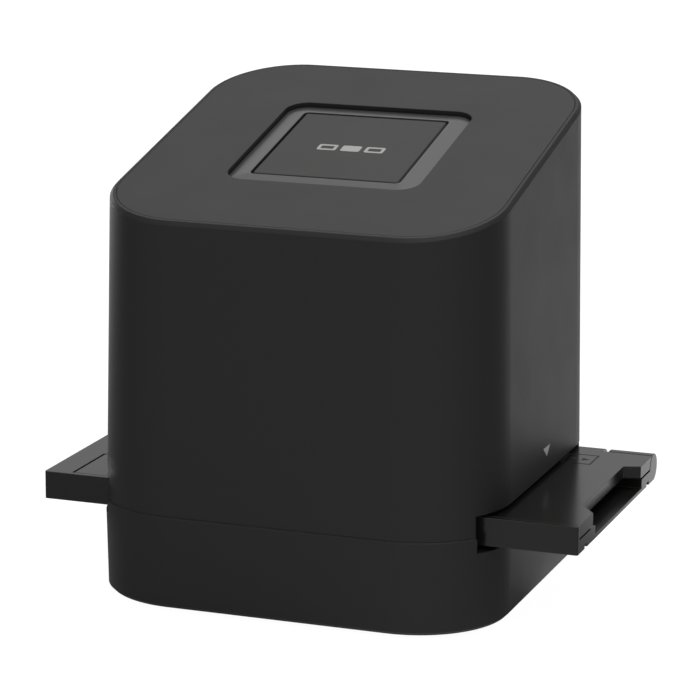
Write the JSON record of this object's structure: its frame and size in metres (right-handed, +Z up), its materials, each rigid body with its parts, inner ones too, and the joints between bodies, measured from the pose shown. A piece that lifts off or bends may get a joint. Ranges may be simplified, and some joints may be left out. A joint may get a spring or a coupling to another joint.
{
  "type": "film negative scanner",
  "caption": "Desktop film negative scanner: a matt black drafted cube with a slanting top, a square scan button and a hinged film tray that slides through a slot in the sides.",
  "frame": {"origin": "centre of the body's footprint on the resting plane, under the four rubber feet", "axes": "+X to the object's right, along the film tray; +Y to the back; +Z up"},
  "size_m": [0.1157, 0.0886, 0.1016],
  "materials": {
    "housing_plastic": "matt moulded",
    "panel_plastic": "matt moulded",
    "bezel_plastic": "satin",
    "button_plastic": "matt moulded",
    "tray_plastic": "satin moulded",
    "inner_plastic": "matt",
    "white_plastic": "matt",
    "rubber": "matt",
    "steel": "zinc plated",
    "circuit_board": "solder mask",
    "led": "satin",
    "lens_glass": "polished",
    "chip": "matt moulded"
  },
  "bodies": {
    "housing": {"base_shell": "housing_plastic", "casing": "housing_plastic", "top_panel": "panel_plastic", "button_bezel": "bezel_plastic", "rubber_feet": "rubber", "case_screws": "steel", "lower_guide": "inner_plastic", "lower_guide_screws": "steel", "detent_spring": "steel", "upper_guide": "inner_plastic", "upper_guide_screws": "steel", "led_board": "circuit_board", "led_board_screws": "steel", "backlight_leds": "led", "light_box": "white_plastic", "diffuser": "white_plastic", "optical_tunnel": "inner_plastic", "tunnel_screws": "steel", "lens_mount": "inner_plastic", "lens_barrel": "inner_plastic", "lens_front_element": "lens_glass", "lens_rear_element": "lens_glass", "infrared_filter": "lens_glass", "image_sensor": "chip", "sensor_board": "circuit_board", "camera_screws": "steel", "main_board": "circuit_board", "main_board_screws": "steel", "processor_chip": "chip", "memory_chip": "chip", "usb_socket": "steel", "usb_tongue": "inner_plastic", "switch_body": "inner_plastic", "button_board": "circuit_board", "button_board_screws": "steel", "sensor_ribbon": "white_plastic", "button_ribbon": "white_plastic", "ribbon_sockets": "white_plastic"},
    "button": {"scan_button": "button_plastic", "switch_plunger": "white_plastic"},
    "tray": {"tray_base": "tray_plastic", "tray_lid": "tray_plastic", "hinge_pin": "steel"}
  },
  "joints": [
    {"name": "button_press", "type": "slide", "parent": "housing", "child": "button", "axis": [0, 0.2346, -0.9721], "range_m": [0, 0.001], "stiffness_N_per_m": 1500},
    {"name": "tray_slide", "type": "slide", "parent": "housing", "child": "tray", "axis": [1, 0, 0], "range_m": [-0.099, 0.095]}
  ]
}
